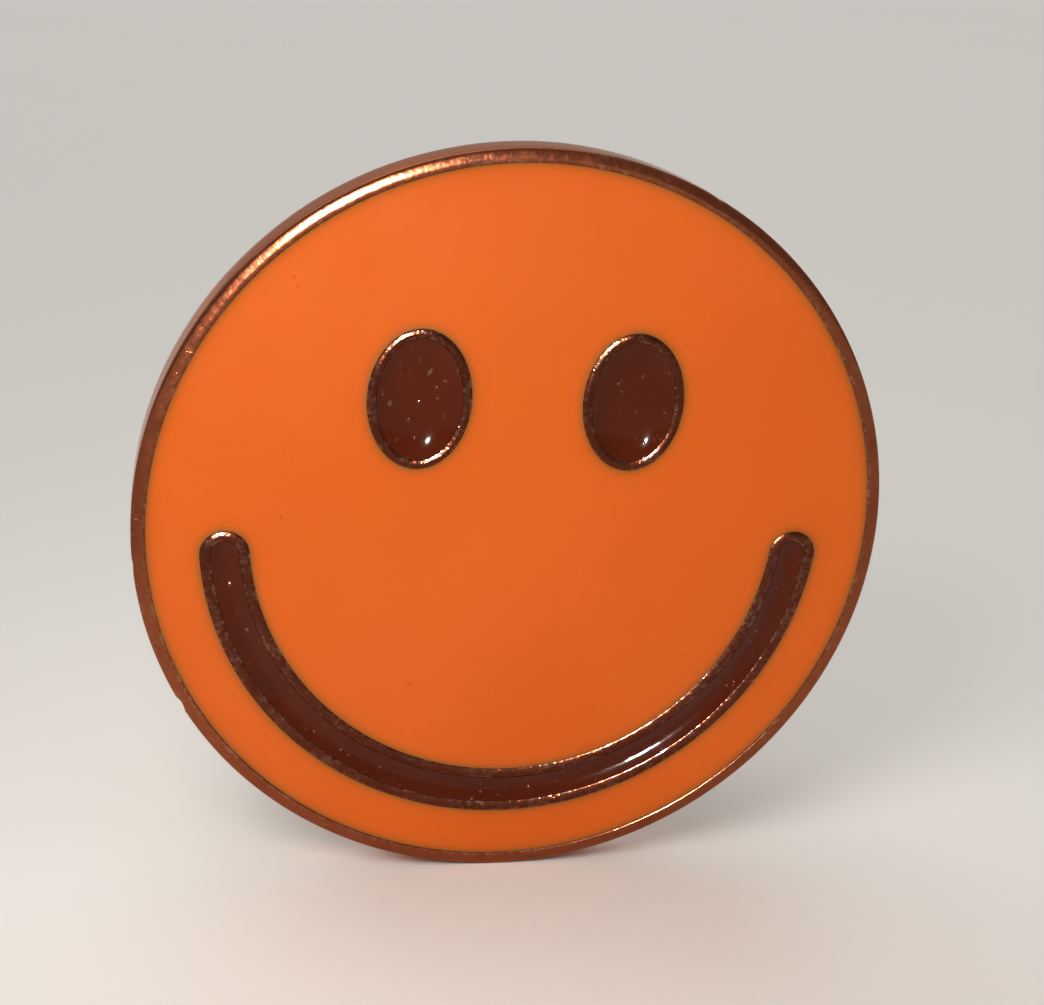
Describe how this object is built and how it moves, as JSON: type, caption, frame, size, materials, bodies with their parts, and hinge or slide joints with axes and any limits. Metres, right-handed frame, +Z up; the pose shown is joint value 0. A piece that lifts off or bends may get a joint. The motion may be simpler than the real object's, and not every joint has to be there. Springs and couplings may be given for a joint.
{
  "type": "enamel lapel pin",
  "caption": "Round enamelled lapel pin with a smiling face, a raised metal rim and outlines, and butterfly clutches on posts behind it.",
  "frame": {"origin": "middle of the badge plate's flat back face", "axes": "+Z up as the pin is worn, the face looks towards -Y and the posts point along +Y, +X to the right of someone looking at the face"},
  "size_m": [0.0254, 0.0095, 0.0254],
  "materials": {
    "plated_metal": "polished dark nickel plating over struck brass",
    "orange_enamel": "glossy baked enamel, slightly hollow between the metal lines",
    "brown_enamel": "glossy baked enamel with fine dust",
    "post_steel": "turned and nickel plated",
    "solder": "dull flowed solder",
    "clutch_brass": "bright stamped sheet"
  },
  "bodies": {
    "badge": {"badge_plate": "plated_metal", "face_enamel": "orange_enamel", "left_eye_enamel": "brown_enamel", "right_eye_enamel": "brown_enamel", "mouth_enamel": "brown_enamel", "left_post": "post_steel", "right_post": "post_steel", "left_post_solder": "solder", "right_post_solder": "solder"},
    "left_clutch": {"left_clutch_base": "clutch_brass"},
    "left_spring": {"left_clutch_bridge": "clutch_brass"},
    "left_tongue": {"left_clutch_tongue_wing": "clutch_brass"},
    "left_fork": {"left_clutch_fork_wing": "clutch_brass"},
    "right_clutch": {"right_clutch_base": "clutch_brass"},
    "right_spring": {"right_clutch_bridge": "clutch_brass"},
    "right_tongue": {"right_clutch_tongue_wing": "clutch_brass"},
    "right_fork": {"right_clutch_fork_wing": "clutch_brass"}
  },
  "joints": [
    {"name": "left_clutch_slide", "type": "slide", "parent": "badge", "child": "left_clutch", "axis": [0, 1, 0], "range_m": [-0.0007, 0.009]},
    {"name": "left_clutch_turn", "type": "hinge", "parent": "left_clutch", "child": "left_spring", "pos_m": [-0.00675, 0.0019, 0], "axis": [0, 1, 0], "continuous": true},
    {"name": "left_tongue_squeeze", "type": "hinge", "parent": "left_spring", "child": "left_tongue", "pos_m": [-0.00675, 0.00261, 0.0036], "axis": [1, 0, 0], "range_deg": [0, 8], "stiffness_Nm_per_rad": 0.01},
    {"name": "left_fork_squeeze", "type": "hinge", "parent": "left_spring", "child": "left_fork", "pos_m": [-0.00675, 0.00241, -0.0036], "axis": [-1, 0, 0], "range_deg": [0, 8], "stiffness_Nm_per_rad": 0.01},
    {"name": "right_clutch_slide", "type": "slide", "parent": "badge", "child": "right_clutch", "axis": [0, 1, 0], "range_m": [-0.0007, 0.009]},
    {"name": "right_clutch_turn", "type": "hinge", "parent": "right_clutch", "child": "right_spring", "pos_m": [0.00675, 0.0019, 0], "axis": [0, 1, 0], "continuous": true},
    {"name": "right_tongue_squeeze", "type": "hinge", "parent": "right_spring", "child": "right_tongue", "pos_m": [0.00675, 0.00261, 0.0036], "axis": [1, 0, 0], "range_deg": [0, 8], "stiffness_Nm_per_rad": 0.01},
    {"name": "right_fork_squeeze", "type": "hinge", "parent": "right_spring", "child": "right_fork", "pos_m": [0.00675, 0.00241, -0.0036], "axis": [-1, 0, 0], "range_deg": [0, 8], "stiffness_Nm_per_rad": 0.01}
  ],
  "couplings": [
    {"joint": "left_fork_squeeze", "follows": "left_tongue_squeeze", "ratio": 1},
    {"joint": "right_fork_squeeze", "follows": "right_tongue_squeeze", "ratio": 1}
  ]
}
